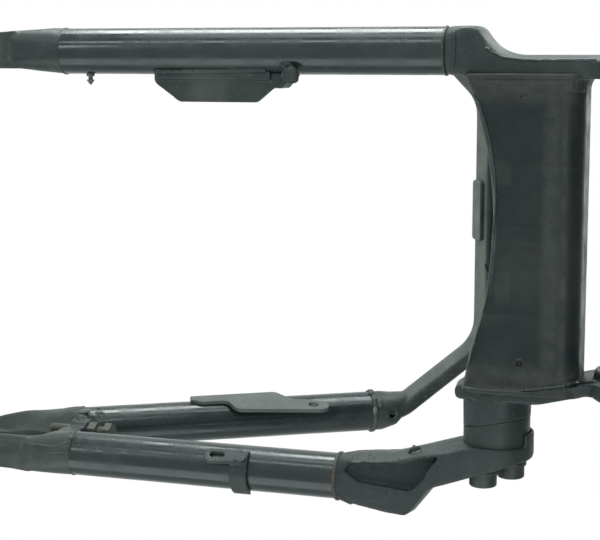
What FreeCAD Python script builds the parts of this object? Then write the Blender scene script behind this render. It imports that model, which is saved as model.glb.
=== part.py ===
import FreeCAD, Part
import math
import os

from FreeCAD import Vector

# Rear swingarm of a motorcycle, in millimetres.
# Origin: the middle of the front pivot axis. X points forward, Y to the left, Z up.

# Tubes
TUBE_OD = 31.8
TUBE_WALL = 4.0
RIGHT_LEG_Y = -117.0
LEFT_LEG_Y = 176.0
RIGHT_LOWER_FRONT_X = -129.5
LEFT_LOWER_FRONT_X = -202.0
LEG_MEET_X = -548.0
LEG_ANGLE = 31.0
LOWER_LEG_START = 144.0
UPPER_LEG_START = 136.0
UPPER_LEG_END = 370.0
LOWER_LEG_REAR_X = LEG_MEET_X + LOWER_LEG_START

# Bridge forging between the two upper legs
BRIDGE_WIDTH = 20.0
BRIDGE_FLAT = 9.0
BRIDGE_HEIGHT = 27.0
BRIDGE_SOCKET = 14.0
BRIDGE_CROSS_U = 468.5
BRIDGE_BEND_R = 38.0
BRIDGE_LEFT_CORNER_Y = 122.0
BRIDGE_RIGHT_CORNER_Y = -80.0
BRIDGE_RIGHT_LEAD = 64.0
BRIDGE_LEFT_SHIFT = 7.0
BRIDGE_RIGHT_SHIFT = 0.5
VENT_HOLE_D = 6.0
PAD_RIGHT_Y = -12.0
PAD_LEFT_Y = 37.0
PAD_SHEET = 1.2
BRIDGE_PAD_HEIGHT = 18.0

# Axle carriers
CARRIER_OUT = 16.6
CARRIER_IN = 12.2
CARRIER_DRAFT = 2.4
LOWER_NECK = 36.0
UPPER_NECK = 18.0
NECK_OVERLAP = 10.0
NECK_CORNER_R = 8.0
ARM_HALF = 13.6
ARM_BELLY = 72.0
SLOT_LEAD = 20.0
SLOT_LENGTH = 81.0
SLOT_HEIGHT = 25.6
SLOT_Z = 36.0
SLOT_CORNER_R = 4.0
SLOT_RIM = 16.0
WEB_THICK = 14.0
WEB_FACE = 7.0
WEB_FOOT_Z = 2.0
ADJUSTER_D = 8.0
ADJUSTER_SHIFT = 7.0
ADJUSTER_BOSS_R = 9.0
ADJUSTER_REACH = 18.5
ADJUSTER_FRONT = 18.5
NUT_FLATS = 13.0
NUT_HEIGHT = 6.5
HEAD_FLATS = 13.0
HEAD_HEIGHT = 5.5
THREAD_GAP = 0.15
SLOT_FRONT_X = LOWER_LEG_REAR_X - SLOT_LEAD
SLOT_REAR_X = SLOT_FRONT_X - SLOT_LENGTH

# Front pivots
PIVOT_BOSS_R = 29.0
PIVOT_INNER_Y = 88.0
PIVOT_BORE_R = 18.0
PIVOT_BOLT_R = 9.6
BUSH_PROUD = 1.5
PLATE_WIDTH = 15.0
RIGHT_PLATE_OUT_Y = -114.5
LEFT_PLATE_OUT_Y = 105.0
PLATE_REAR_Z = 18.0
PLATE_DEEP_Z = 25.0
PLATE_TALL_Z = 29.0
PLATE_DRAFT = 3.0
FORGING_NECK = 12.0
SHOCK_LUG_X = -2.0
SHOCK_LUG_Z = -38.0
SHOCK_LUG_R = 13.0
SHOCK_HOLE_R = 6.4

# Crossmember
BOX_FRONT_X = -37.0
BOX_REAR_X = -112.0
BOX_WAIST_X = -93.5
BOX_WAIST_Y = -5.0
BOX_FLARE_X = -107.4
BOX_HALF_Z = 25.0
BOX_WALL = 3.5
BOX_FRONT_BEND = 14.0
BOX_REAR_BEND = 5.0
BOX_RIGHT_Y = -99.5
BOX_LEFT_Y = 101.0
BOX_RIGHT_FLARE_Y = -87.0
BOX_LEFT_FLARE_Y = 77.0
DRAIN_HOLE_D = 5.4
DRAIN_X = -74.2
DRAIN_RIGHT_Y = -88.0
DRAIN_LEFT_Y = 83.0

# Upright panel from the crossmember to the bridge
PANEL_SHEET = 4.0
PANEL_FOOT_X = -76.0
PANEL_FOOT_HALF_Y = 72.0
PANEL_TOP_HALF_Y = 52.0
PANEL_FLANGE = 20.0
PANEL_CENTRE_Y = 12.0

# Belt access joint on the left
LEFT_FORGING_REAR_X = -120.5
LEFT_SEAT_Y = 113.0
BLOCK_X = -92.5
BLOCK_R = 22.2
BLOCK_SEAM_Y = 129.1
BLOCK_SEAM_TILT = 12.0
BLOCK_SEAM_LEAN = 7.4
BLOCK_END_Y = 142.5
SEAT_REAR_Y = 159.5
SEAT_FRONT_Y = 158.3
PAD_FRONT_Y = 152.3
PAD_HALF_Z = 24.4
LUG_THICK = 2.6
LUG_REACH = 8.5
ELBOW_HEEL = 38.0
ELBOW_BULGE = 52.6
ELBOW_TURN = 68.5
ELBOW_INNER_TURN = 40.0
ELBOW_INNER_END = 84.0
ELBOW_INNER_Y = 20.5
ELBOW_SWELL = 5.2
ELBOW_DRAFT = 3.5
POCKET_FLOOR_Z = 12.5
POCKET = [(6.5, -8.5), (12.0, -14.5), (50.0, -17.7), (77.0, -27.0),
          (68.6, -17.4), (62.5, -6.5), (54.0, 1.5), (18.0, -1.5)]
POCKET_R = [3, 4, 12, 1.2, 8, 8, 6, 10]
SCREW_SHIFT_X = 0.7
SCREW_OFFSET_X = 7.4
SCREW_OFFSET_Z = 11.0
SCREW_D = 12.0
SCREW_HEAD_D = 18.5
SCREW_HEAD_H = 9.0
SCREW_SOCKET_FLATS = 10.0
SCREW_SOCKET_DEPTH = 5.0
WASHER_OD = 21.0
WASHER_THICK = 2.0
SCREW_DEPTH = 42.0
HOLE_GAP = 0.4

# Sheet metal brackets
SHEET = 3.0
TAB_HOLE_D = 8.5
HANGER_TILT = 12.7
HANGER_HOLE = (315.7, 20.5)
TAB_TILT = 35.0
TAB_SLOT_BACK = 10.1
TAB_SLOT_LOW = 5.4
TAB_SLOT_WIDTH = 4.6
TAB_SLOT_LENGTH = 10.4
STRAP_BACK = 75.5
STRAP_WIDTH = 12.5
STRAP_TOP_Z = -8.0
TAB_OUTLINE = [(-21.0, 0.0), (9.0, -1.0), (12.0, 10.0), (-18.5, 12.5)]
TAB_R = [5, 4, 3, 5]
HANGER_OUTLINE = [(220.5, -6.5), (220.5, -0.5), (229.0, 4.2), (249.0, 4.5), (254.0, 20.5),
                  (327.0, 30.5), (328.0, 16.0), (300.0, 7.5), (290.0, -6.5)]
HANGER_R = [1.5, 1, 6, 5, 8, 7, 7, 12, 6]
CLIP_LEAD = 18.0
CLIP_D = 3.2
CLIP_REACH = 7.5
GUARD_LEAD = 65.0
GUARD_LENGTH = 108.0
GUARD_TOP_Z = -4.0
GUARD_REACH = 18.8
GUARD_REAR_REACH = 5.5
GUARD_FRONT_REACH = 9.0
GUARD_SLOPE = 19.0
GUARD_WIDE_END = 80.0
GUARD_STEP = 12.0
GUARD_LIP = 3.6
GUARD_LIP_DEPTH = 2.5
GUARD_EAR_LOW = 9.0
GUARD_EAR_HIGH = 8.0
GUARD_EAR_THICK = 3.0
STRAP_REAR_X = LEFT_LOWER_FRONT_X - STRAP_BACK
STRAP_FRONT_X = STRAP_REAR_X + STRAP_WIDTH
TAB_SLOT_X = STRAP_REAR_X - TAB_SLOT_BACK
CLIP_X = LOWER_LEG_REAR_X + CLIP_LEAD


def box(x0, x1, y0, y1, z0, z1):
    """Axis-aligned block between two corners."""
    return Part.makeBox(x1 - x0, y1 - y0, z1 - z0, Vector(x0, y0, z0))


def rod(radius, start, end):
    """Round bar from one point to another."""
    run = end - start
    return Part.makeCylinder(radius, run.Length, start, run)


def rounded_wire(points, radii):
    """Closed flat wire through the points, with an arc of the given radius at each corner."""
    count = len(points)
    if not isinstance(radii, (list, tuple)):
        radii = [radii] * count
    entries = []
    for i, corner in enumerate(points):
        before = points[i - 1] - corner
        after = points[(i + 1) % count] - corner
        if radii[i] <= 0:
            entries.append((corner, None, corner))
            continue
        half = before.getAngle(after) / 2
        reach = radii[i] / math.tan(half)
        start = corner + before.normalize() * reach
        end = corner + after.normalize() * reach
        middle_way = (before + after).normalize()
        middle = corner + middle_way * (radii[i] / math.sin(half) - radii[i])
        entries.append((start, middle, end))
    edges = []
    for i, (start, middle, end) in enumerate(entries):
        if middle is not None:
            edges.append(Part.Arc(start, middle, end).toShape())
        following = entries[(i + 1) % count][0]
        if end.distanceToPoint(following) > 1e-4:
            edges.append(Part.makeLine(end, following))
    return Part.Wire(edges)


def prism(points, radii, run):
    """Extrusion of a rounded outline."""
    return Part.Face(rounded_wire(points, radii)).extrude(run)


def plan_prism(outline, radii, z0, z1):
    """Extrusion along Z of an outline given as x, y pairs."""
    return prism([Vector(x, y, z0) for x, y in outline], radii, Vector(0, 0, z1 - z0))


def side_prism(outline, radii, y0, y1):
    """Extrusion along Y of an outline given as x, z pairs."""
    return prism([Vector(x, y0, z) for x, z in outline], radii, Vector(0, y1 - y0, 0))


def section(centre, across, up, width, height, radius):
    """Rounded rectangle that always has four sides and four arcs, so that lofts match."""
    radius = min(radius, 0.499 * width, 0.499 * height)
    half_w = across * (width / 2)
    half_h = up * (height / 2)
    corners = [centre - half_w - half_h, centre + half_w - half_h,
               centre + half_w + half_h, centre - half_w + half_h]
    return rounded_wire(corners, radius)


def loft(wires, ruled=False):
    """Solid through a row of sections."""
    return Part.makeLoft(wires, True, ruled)


def inset(points, radii, depth, drafted):
    """Move the drafted sides of an outline inward; points are x, y pairs in turn."""
    count = len(points)
    area = sum(points[i - 1][0] * points[i][1] - points[i][0] * points[i - 1][1] for i in range(count))
    turn = 1 if area > 0 else -1
    lines = []
    for i in range(count):
        ax, ay = points[i]
        bx, by = points[(i + 1) % count]
        length = math.hypot(bx - ax, by - ay)
        dx, dy = (bx - ax) / length, (by - ay) / length
        shift = depth * drafted[i] * turn
        lines.append((ax - dy * shift, ay + dx * shift, dx, dy))
    moved = []
    new_radii = []
    for i in range(count):
        ax, ay, adx, ady = lines[i - 1]
        bx, by, bdx, bdy = lines[i]
        cross = adx * bdy - ady * bdx
        along = ((bx - ax) * bdy - (by - ay) * bdx) / cross
        moved.append((ax + adx * along, ay + ady * along))
        change = depth * (1 if cross * turn > 0 else -1) * min(drafted[i - 1], drafted[i])
        new_radii.append(max(radii[i] - change, 0.4) if radii[i] > 0 else 0)
    return moved, new_radii


def forging(points, radii, drafted, place, levels):
    """Forged blank with its parting line at the level that has no inset."""
    wires = []
    for level, depth in levels:
        moved, new_radii = inset(points, radii, depth, drafted)
        wires.append(rounded_wire([place(a, b, level) for a, b in moved], new_radii))
    return loft(wires, True)


def in_plan(a, b, level):
    return Vector(a, b, level)


def in_side(a, b, level):
    return Vector(a, level, b)


def hexagon(flats, base, run):
    """Hexagonal bar along X."""
    corner = flats / math.sqrt(3)
    points = []
    for i in range(6):
        angle = math.radians(60 * i)
        points.append(base + Vector(0, corner * math.cos(angle), corner * math.sin(angle)))
    return prism(points, 0, Vector(run, 0, 0))


TUBE_R = TUBE_OD / 2
SLOPE = math.radians(LEG_ANGLE)
UP_THE_LEG = Vector(math.cos(SLOPE), 0, math.sin(SLOPE))
OFF_THE_LEG = Vector(-math.sin(SLOPE), 0, math.cos(SLOPE))
ACROSS = Vector(0, 1, 0)


def on_upper_leg(along, y):
    """Point on the axis of an upper leg, measured from where it would meet the lower leg."""
    return Vector(LEG_MEET_X, y, 0) + UP_THE_LEG * along


def tube(start, end):
    """Hollow round tube."""
    run = end - start
    bore = Part.makeCylinder(TUBE_R - TUBE_WALL, run.Length, start, run)
    return rod(TUBE_R, start, end).cut(bore)


def lower_leg(y, front_x):
    return tube(Vector(LOWER_LEG_REAR_X, y, 0), Vector(front_x, y, 0))


def upper_leg(y):
    return tube(on_upper_leg(UPPER_LEG_START, y), on_upper_leg(UPPER_LEG_END, y))


def bridge_section(centre, along):
    """Six-sided drafted section of the bridge, set square to its run."""
    across = along.cross(OFF_THE_LEG).normalize()
    mid = across * (BRIDGE_WIDTH / 2)
    flat = across * (BRIDGE_FLAT / 2)
    rise = OFF_THE_LEG * (BRIDGE_HEIGHT / 2)
    corners = [centre - mid, centre - flat - rise, centre + flat - rise,
               centre + mid, centre + flat + rise, centre - flat + rise]
    return rounded_wire(corners, [1.5, 4, 4, 1.5, 4, 4])


def bridge_path():
    """Corners of the bridge's run, from the left upper leg round to the right one."""
    left_bend = UPPER_LEG_END + BRIDGE_SOCKET + 12.0
    right_bend = UPPER_LEG_END + BRIDGE_RIGHT_LEAD
    return [
        on_upper_leg(UPPER_LEG_END + BRIDGE_SOCKET, LEFT_LEG_Y),
        on_upper_leg(left_bend, LEFT_LEG_Y - 2.0),
        on_upper_leg(BRIDGE_CROSS_U, BRIDGE_LEFT_CORNER_Y),
        on_upper_leg(BRIDGE_CROSS_U, BRIDGE_RIGHT_CORNER_Y),
        on_upper_leg(right_bend, RIGHT_LEG_Y + 2.0),
        on_upper_leg(UPPER_LEG_END + BRIDGE_SOCKET, RIGHT_LEG_Y),
    ]


def open_path(points, radius):
    """Open wire of straight runs joined by tangent arcs."""
    edges = []
    last = points[0]
    for i in range(1, len(points) - 1):
        corner = points[i]
        before = points[i - 1] - corner
        after = points[i + 1] - corner
        half = before.getAngle(after) / 2
        limit = 0.45 * min(before.Length, after.Length)
        reach = min(radius / math.tan(half), limit)
        actual = reach * math.tan(half)
        start = corner + before.normalize() * reach
        end = corner + after.normalize() * reach
        middle = corner + (before + after).normalize() * (actual / math.sin(half) - actual)
        edges.append(Part.makeLine(last, start))
        edges.append(Part.Arc(start, middle, end).toShape())
        last = end
    edges.append(Part.makeLine(last, points[-1]))
    return Part.Wire(edges)


def bridge():
    """Forged U that joins the upper legs, with a round socket at each end."""
    points = bridge_path()
    path = open_path(points, BRIDGE_BEND_R)
    along = (points[1] - points[0]).normalize()
    body = path.makePipeShell([bridge_section(points[0], along)], True, False)
    for y, shift in ((LEFT_LEG_Y, BRIDGE_LEFT_SHIFT), (RIGHT_LEG_Y, -BRIDGE_RIGHT_SHIFT)):
        start = on_upper_leg(UPPER_LEG_END, y)
        collar = on_upper_leg(UPPER_LEG_END + 8.0, y)
        neck_end = on_upper_leg(UPPER_LEG_END + BRIDGE_SOCKET + 5.0, y - shift * 0.2)
        inside = on_upper_leg(UPPER_LEG_END + BRIDGE_SOCKET + 16.0, y - shift)
        body = body.fuse(rod(TUBE_R, start, collar))
        body = body.fuse(loft([
            section(collar, ACROSS, OFF_THE_LEG, TUBE_OD, TUBE_OD, TUBE_R),
            section(neck_end, ACROSS, OFF_THE_LEG, BRIDGE_WIDTH + 4.0, BRIDGE_HEIGHT + 1.5, 7.0),
            section(inside, ACROSS, OFF_THE_LEG, BRIDGE_WIDTH - 7.0, BRIDGE_HEIGHT - 6.0, 4.0),
        ], True))
    vent = on_upper_leg(UPPER_LEG_END + 15.0, LEFT_LEG_Y + 1.0)
    drill = Part.makeCylinder(VENT_HOLE_D / 2, TUBE_OD, vent, OFF_THE_LEG * -1)
    return body.cut(drill).removeSplitter()


def adjuster_y(leg_y):
    """The adjuster runs inboard of the leg's own axis."""
    return leg_y - math.copysign(ADJUSTER_SHIFT, leg_y)


def neck(weld, along, off, width_y, length):
    """Blend from a round tube end to a carrier's arm; the last section lies inside the head."""
    end = weld - along * length
    end.y = width_y[0]
    inside = end - along * NECK_OVERLAP
    width = width_y[1]
    height = 2 * ARM_HALF + 2.0
    return loft([
        section(weld, ACROSS, off, TUBE_OD, TUBE_OD, TUBE_R),
        section(end, ACROSS, off, width, height, NECK_CORNER_R),
        section(inside, ACROSS, off, width - 6.0, height - 8.0, NECK_CORNER_R),
    ], True)


def carrier(leg_y):
    """Forged axle carrier: a slotted head with an arm to each leg and a web for the adjuster."""
    side = math.copysign(1, leg_y)
    inner = leg_y - side * CARRIER_IN
    outer = leg_y + side * CARRIER_OUT
    middle_y = (inner + outer) / 2
    width = CARRIER_IN + CARRIER_OUT
    half_slot = SLOT_HEIGHT / 2
    rim_r = half_slot + SLOT_RIM
    round_x = SLOT_REAR_X + half_slot
    rear_x = round_x - rim_r
    web_x = SLOT_FRONT_X + WEB_THICK
    low = Vector(LOWER_LEG_REAR_X, leg_y, 0)
    high = on_upper_leg(UPPER_LEG_START, leg_y)
    arm_x = LOWER_LEG_REAR_X - LOWER_NECK + 2.0
    arm_top = on_upper_leg(UPPER_LEG_START - UPPER_NECK + 2.0, leg_y) + OFF_THE_LEG * ARM_HALF
    arm_low = on_upper_leg(UPPER_LEG_START - UPPER_NECK + 5.0, leg_y) - OFF_THE_LEG * (ARM_HALF - 2.0)
    outline = [
        (arm_x, -ARM_HALF),
        (LOWER_LEG_REAR_X - ARM_BELLY, 2.0 - ARM_HALF),
        (rear_x, SLOT_Z - rim_r),
        (rear_x, SLOT_Z + rim_r),
        (arm_top.x - 8.0, SLOT_Z + rim_r),
        (arm_top.x, arm_top.z),
        (arm_low.x, arm_low.z),
        (web_x - WEB_FACE, SLOT_Z + half_slot + 6.0),
        (web_x, SLOT_Z + half_slot),
        (web_x, WEB_FOOT_Z),
        (arm_x, WEB_FOOT_Z),
    ]
    radii = [0, 26, rim_r - 4.0, rim_r - 4.0, 20, 0, 0, 3, 6, 0, 0]
    drafted = [1, 1, 1, 1, 1, 0, 1, 1, 1, 0, 0]
    levels = [(inner, CARRIER_DRAFT), (middle_y, 0), (outer, CARRIER_DRAFT)]
    head = forging(outline, radii, drafted, in_side, levels)
    place = (middle_y, width)
    necks = [neck(low, Vector(1, 0, 0), Vector(0, 0, 1), place, LOWER_NECK),
             neck(high, UP_THE_LEG, OFF_THE_LEG, place, UPPER_NECK)]
    hole_y = adjuster_y(leg_y)
    boss = rod(ADJUSTER_BOSS_R, Vector(SLOT_FRONT_X - 1.0, hole_y, SLOT_Z), Vector(web_x, hole_y, SLOT_Z))
    body = head.fuse(necks + [boss])
    slot = side_prism([
        (SLOT_FRONT_X, SLOT_Z - half_slot), (round_x, SLOT_Z - half_slot),
        (round_x, SLOT_Z + half_slot), (SLOT_FRONT_X, SLOT_Z + half_slot),
    ], [SLOT_CORNER_R, 0, 0, SLOT_CORNER_R], leg_y - TUBE_OD, leg_y + TUBE_OD)
    slot_end = rod(half_slot, Vector(round_x, leg_y - TUBE_OD, SLOT_Z), Vector(round_x, leg_y + TUBE_OD, SLOT_Z))
    screw_hole = rod(ADJUSTER_D / 2 + THREAD_GAP, Vector(SLOT_FRONT_X - 10.0, hole_y, SLOT_Z),
                     Vector(web_x + 40.0, hole_y, SLOT_Z))
    return body.cut([slot.fuse(slot_end), screw_hole]).removeSplitter()


def adjuster_screw(leg_y):
    """Hexagon-head screw that pushes on the axle; it runs through the carrier's web."""
    centre = adjuster_y(leg_y)
    tip = Vector(SLOT_FRONT_X - ADJUSTER_REACH, centre, SLOT_Z)
    front = Vector(SLOT_FRONT_X + WEB_THICK + ADJUSTER_FRONT - HEAD_HEIGHT, centre, SLOT_Z)
    shank = rod(ADJUSTER_D / 2, tip, front)
    shank = shank.makeChamfer(1.0, [e for e in shank.Edges if abs(e.CenterOfMass.x - tip.x) < 0.01])
    return shank.fuse(hexagon(HEAD_FLATS, front, HEAD_HEIGHT))


def adjuster_nut(leg_y):
    """Lock nut against the front of the web."""
    base = Vector(SLOT_FRONT_X + WEB_THICK, adjuster_y(leg_y), SLOT_Z)
    bore = rod(ADJUSTER_D / 2 + THREAD_GAP, base, base + Vector(NUT_HEIGHT, 0, 0))
    return hexagon(NUT_FLATS, base, NUT_HEIGHT).cut(bore)


def side_profile(rear_x, front_x, low_y, high_y):
    """Side view of a pivot plate as a solid that trims the drafted blank."""
    lug_low = SHOCK_LUG_Z - SHOCK_LUG_R
    return side_prism([
        (rear_x, -PLATE_REAR_Z), (-62.0, -PLATE_DEEP_Z), (-29.0, -PLATE_DEEP_Z),
        (SHOCK_LUG_X - SHOCK_LUG_R, lug_low), (SHOCK_LUG_X + SHOCK_LUG_R, lug_low),
        (front_x, -12.0), (front_x, 14.0), (-34.0, PLATE_TALL_Z), (rear_x, PLATE_REAR_Z + 2.0),
    ], [4, 18, 8, SHOCK_LUG_R - 0.5, SHOCK_LUG_R - 0.5, 6, 6, 24, 4], low_y, high_y)


def pivot_ends(plate_out_y):
    """Outer and inner face of a pivot boss."""
    return plate_out_y, math.copysign(PIVOT_INNER_Y, plate_out_y)


def pivot_boss(plate_out_y):
    outer, inner = pivot_ends(plate_out_y)
    boss = rod(PIVOT_BOSS_R, Vector(0, outer, 0), Vector(0, inner, 0))
    return boss.makeChamfer(1.5, [e for e in boss.Edges if e.Curve.TypeId == "Part::GeomCircle"])


def pivot_cuts(plate_out_y):
    """Bore for the pivot bush and hole for the shock bolt."""
    reach = Vector(0, PIVOT_BOSS_R, 0)
    bore_at = Vector(0, plate_out_y, 0)
    hole_at = Vector(SHOCK_LUG_X, plate_out_y, SHOCK_LUG_Z)
    return [rod(PIVOT_BORE_R, bore_at - reach, bore_at + reach),
            rod(SHOCK_HOLE_R, hole_at - reach, hole_at + reach)]


def plate_levels():
    """Heights of a pivot plate's sections; the shock lug below the drafted part is straight."""
    return [(SHOCK_LUG_Z - SHOCK_LUG_R - 1.0, PLATE_DRAFT), (-PLATE_DEEP_Z, PLATE_DRAFT), (0, 0),
            (PLATE_TALL_Z, PLATE_DRAFT)]


def right_forging():
    """Side forging that runs from the lower leg's weld to the right pivot."""
    inner = RIGHT_PLATE_OUT_Y + PLATE_WIDTH
    leg_in = RIGHT_LEG_Y + TUBE_R
    leg_out = RIGHT_LEG_Y - TUBE_R
    blank_x = RIGHT_LOWER_FRONT_X + FORGING_NECK
    outline = [
        (blank_x, leg_in), (blank_x, leg_out - 0.2), (-105.6, leg_out - 0.2), (-92.0, RIGHT_PLATE_OUT_Y),
        (PIVOT_BOSS_R * 0.7, RIGHT_PLATE_OUT_Y), (PIVOT_BOSS_R * 0.7, inner), (-84.0, inner),
    ]
    blank = forging(outline, [0, 0, 6, 30, 0, 0, 25], [0, 0, 1, 1, 0, 0, 0], in_plan, plate_levels())
    blank = blank.common(side_profile(blank_x, PIVOT_BOSS_R * 0.7, leg_out - 5, inner + 5))
    neck_part = loft([
        section(Vector(RIGHT_LOWER_FRONT_X, RIGHT_LEG_Y, 0), ACROSS, Vector(0, 0, 1), TUBE_OD, TUBE_OD, TUBE_R),
        section(Vector(blank_x, RIGHT_LEG_Y - 0.1, 1.0), ACROSS, Vector(0, 0, 1), TUBE_OD + 0.2,
                2 * PLATE_REAR_Z + 2.0, 5.0),
    ])
    body = blank.fuse([neck_part, pivot_boss(RIGHT_PLATE_OUT_Y)])
    return body.cut(pivot_cuts(RIGHT_PLATE_OUT_Y)).removeSplitter()


def seam_cut(beyond):
    """Half space on the boss side or the block side of the slanted joint."""
    size = 4 * BLOCK_R
    blank = box(-size / 2, size / 2, 0, size, -size / 2, size / 2)
    if not beyond:
        blank.translate(Vector(0, -size, 0))
    blank.rotate(Vector(0, 0, 0), Vector(0, 0, 1), -BLOCK_SEAM_TILT)
    blank.rotate(Vector(0, 0, 0), Vector(1, 0, 0), -BLOCK_SEAM_LEAN)
    blank.translate(Vector(BLOCK_X, BLOCK_SEAM_Y, 0))
    return blank


def screw_places():
    """Foot of each block screw's head."""
    centre = BLOCK_X + SCREW_SHIFT_X
    return [Vector(centre - SCREW_OFFSET_X, SEAT_REAR_Y, -SCREW_OFFSET_Z),
            Vector(centre + SCREW_OFFSET_X, SEAT_FRONT_Y, SCREW_OFFSET_Z)]


def screw_holes():
    deep = ACROSS * (SCREW_DEPTH - WASHER_THICK + 2.0)
    return [rod(SCREW_D / 2 + HOLE_GAP, seat - deep, seat + ACROSS * 30.0) for seat in screw_places()]


def left_forging():
    """Side forging with the left pivot and the round boss for the belt access block."""
    inner = LEFT_PLATE_OUT_Y - PLATE_WIDTH
    front = PIVOT_BOSS_R * 0.7
    outline = [
        (LEFT_FORGING_REAR_X, BOX_LEFT_Y), (LEFT_FORGING_REAR_X + 1.0, LEFT_SEAT_Y), (-62.0, LEFT_SEAT_Y),
        (-30.0, LEFT_PLATE_OUT_Y), (front, LEFT_PLATE_OUT_Y), (front, inner), (-12.0, inner), (-56.0, BOX_LEFT_Y),
    ]
    blank = forging(outline, [4.5, 6, 30, 30, 0, 0, 20, 20], [1, 1, 1, 1, 0, 0, 0, 0], in_plan, plate_levels())
    blank = blank.common(side_profile(LEFT_FORGING_REAR_X - 2.0, front, inner - 5, LEFT_SEAT_Y + 5))
    boss = Part.makeCone(BLOCK_R + 0.6, BLOCK_R, 30.0, Vector(BLOCK_X, LEFT_SEAT_Y - 8.0, 0), ACROSS)
    boss = boss.cut(seam_cut(True))
    body = blank.fuse([boss, pivot_boss(LEFT_PLATE_OUT_Y)])
    return body.cut(pivot_cuts(LEFT_PLATE_OUT_Y) + screw_holes()).removeSplitter()


def belt_block():
    """Removable round block with a slanted joint face."""
    body = rod(BLOCK_R, Vector(BLOCK_X, BLOCK_SEAM_Y - 20.0, 0), Vector(BLOCK_X, BLOCK_END_Y, 0))
    body = body.cut([seam_cut(False)] + screw_holes())
    return body


def block_screw(seat):
    """Socket-head cap screw that clamps the block from the outside."""
    under = seat + ACROSS * WASHER_THICK
    top = under + ACROSS * SCREW_HEAD_H
    shank = rod(SCREW_D / 2, under - ACROSS * SCREW_DEPTH, under)
    head = rod(SCREW_HEAD_D / 2, under, top)
    head = head.makeFillet(1.4, [e for e in head.Edges if abs(e.CenterOfMass.y - top.y) < 0.01])
    corner = SCREW_SOCKET_FLATS / math.sqrt(3)
    points = []
    for i in range(6):
        angle = math.radians(60 * i)
        spoke = Vector(corner * math.cos(angle), 0, corner * math.sin(angle))
        points.append(top - ACROSS * SCREW_SOCKET_DEPTH + spoke)
    socket = prism(points, 0, ACROSS * (SCREW_SOCKET_DEPTH + 1.0))
    return shank.fuse(head).cut(socket)


def block_washer(seat):
    ring = rod(WASHER_OD / 2, seat, seat + ACROSS * WASHER_THICK)
    return ring.cut(rod(SCREW_D / 2 + HOLE_GAP, seat - ACROSS, seat + ACROSS * 5.0))


def left_elbow():
    """Forged elbow from the left lower leg to the pad outside the belt access block."""
    leg_in = LEFT_LEG_Y - TUBE_R
    leg_out = LEFT_LEG_Y + TUBE_R
    start = LEFT_LOWER_FRONT_X
    blank_x = start + FORGING_NECK
    pad_r = BLOCK_R + LUG_THICK
    pad_front = BLOCK_X + pad_r
    outline = [
        (blank_x, leg_in - 2.0), (blank_x, leg_out + 0.2), (start + ELBOW_HEEL, leg_out + ELBOW_SWELL - 0.7),
        (start + ELBOW_BULGE, leg_out + ELBOW_SWELL), (start + ELBOW_TURN, LEFT_LEG_Y + 0.3),
        (pad_front, PAD_FRONT_Y), (pad_front, BLOCK_END_Y), (start + ELBOW_INNER_END, BLOCK_END_Y),
        (start + ELBOW_INNER_TURN, LEFT_LEG_Y - ELBOW_INNER_Y),
    ]
    radii = [0, 3, 18, 6, 14, 4, 0, 20, 30]
    drafted = [0, 1, 1, 1, 1, 0, 0, 1, 1]
    levels = [(-PAD_HALF_Z - 1.0, ELBOW_DRAFT), (0, 0), (PAD_HALF_Z + 1.0, ELBOW_DRAFT)]
    slab = forging(outline, radii, drafted, in_plan, levels)
    rise = BLOCK_X - BLOCK_R - 8.0
    side = side_prism([
        (blank_x - 1.0, -17.0), (start + 58.0, -18.5), (rise, -PAD_HALF_Z),
        (pad_front, -PAD_HALF_Z), (pad_front, PAD_HALF_Z), (rise, PAD_HALF_Z),
        (start + 58.0, 18.5), (blank_x - 1.0, 17.0),
    ], [0, 20, 12, PAD_HALF_Z - 0.5, PAD_HALF_Z - 0.5, 12, 20, 0], BLOCK_END_Y - 20, leg_out + 30)
    neck_part = loft([
        section(Vector(start, LEFT_LEG_Y, 0), ACROSS, Vector(0, 0, 1), TUBE_OD, TUBE_OD, TUBE_R),
        section(Vector(blank_x, LEFT_LEG_Y, 0), ACROSS, Vector(0, 0, 1), TUBE_OD + 2.0, 34.0, 7.0),
    ])
    pocket_outline = [(start + x, LEFT_LEG_Y + y) for x, y in POCKET]
    lug = rod(pad_r, Vector(BLOCK_X, BLOCK_END_Y - LUG_REACH, 0), Vector(BLOCK_X, BLOCK_END_Y + 2.0, 0))
    lug = lug.cut(rod(BLOCK_R + 0.3, Vector(BLOCK_X, 0, 0), Vector(BLOCK_X, BLOCK_END_Y, 0)))
    lug = lug.common(box(BLOCK_X, pad_front + 1.0, BLOCK_END_Y - LUG_REACH, BLOCK_END_Y + 2.0, -11.0, 14.0))
    body = neck_part.fuse([slab.common(side), lug])
    for z0, z1 in ((-2 * PAD_HALF_Z, -POCKET_FLOOR_Z), (POCKET_FLOOR_Z, 2 * PAD_HALF_Z)):
        body = body.cut(plan_prism(pocket_outline, POCKET_R, z0, z1))
    spot_r = WASHER_OD / 2 + 0.8
    bosses = [rod(spot_r, seat - ACROSS * 6.0, seat) for seat in screw_places()]
    spot_faces = [rod(spot_r, seat, seat + ACROSS * 25.0) for seat in screw_places()]
    body = body.cut(spot_faces).fuse(bosses)
    return body.cut(screw_holes()).removeSplitter()


def bridge_pad():
    """Flat pad on the rear face of the bridge's cross run."""
    rear = BRIDGE_CROSS_U - BRIDGE_WIDTH / 2
    corners = []
    for y, h in ((PAD_RIGHT_Y, -1), (PAD_LEFT_Y, -1), (PAD_LEFT_Y, 1), (PAD_RIGHT_Y, 1)):
        corners.append(on_upper_leg(rear - PAD_SHEET, y) + OFF_THE_LEG * (h * BRIDGE_PAD_HEIGHT / 2))
    pad = prism(corners, 3.0, UP_THE_LEG * (PAD_SHEET + BRIDGE_WIDTH / 2))
    return pad.cut(bridge_solid)


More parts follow.
